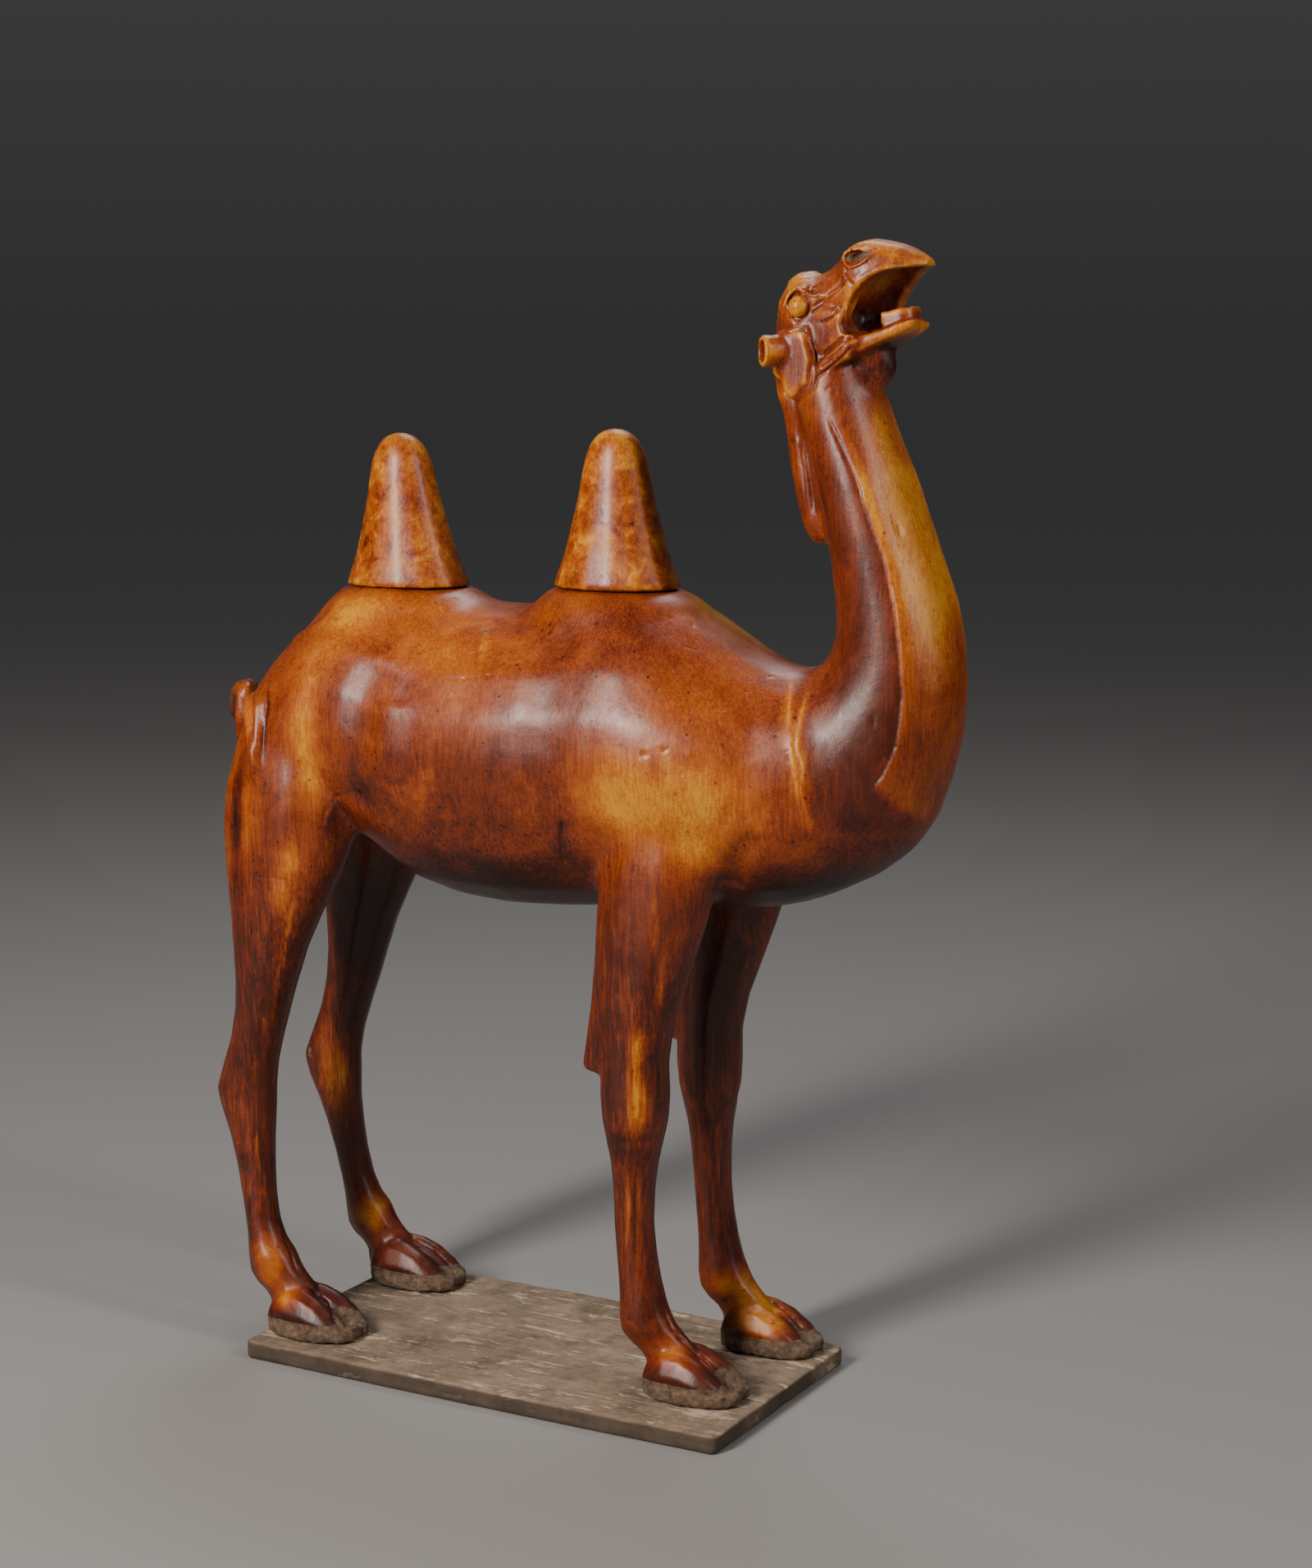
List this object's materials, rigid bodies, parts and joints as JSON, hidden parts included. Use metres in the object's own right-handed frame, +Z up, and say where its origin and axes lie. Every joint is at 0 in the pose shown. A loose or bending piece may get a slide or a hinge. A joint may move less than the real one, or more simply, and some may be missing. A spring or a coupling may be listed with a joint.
{
  "type": "camel figure",
  "caption": "Standing glazed pottery camel with two loose humps, head raised and mouth open, on a flat unglazed clay slab.",
  "frame": {"origin": "centre of the slab's underside, under the middle of the slab's length and width", "axes": "+X along the slab towards the head, +Y to the animal's left, +Z up"},
  "size_m": [0.6249, 0.2255, 0.8528],
  "materials": {
    "amber_glaze": "gloss",
    "hump_glaze": "gloss",
    "bare_clay": "matte"
  },
  "bodies": {
    "root": {"camel": "amber_glaze", "hump_front": "hump_glaze", "hump_rear": "hump_glaze", "plinth": "bare_clay"}
  },
  "joints": []
}
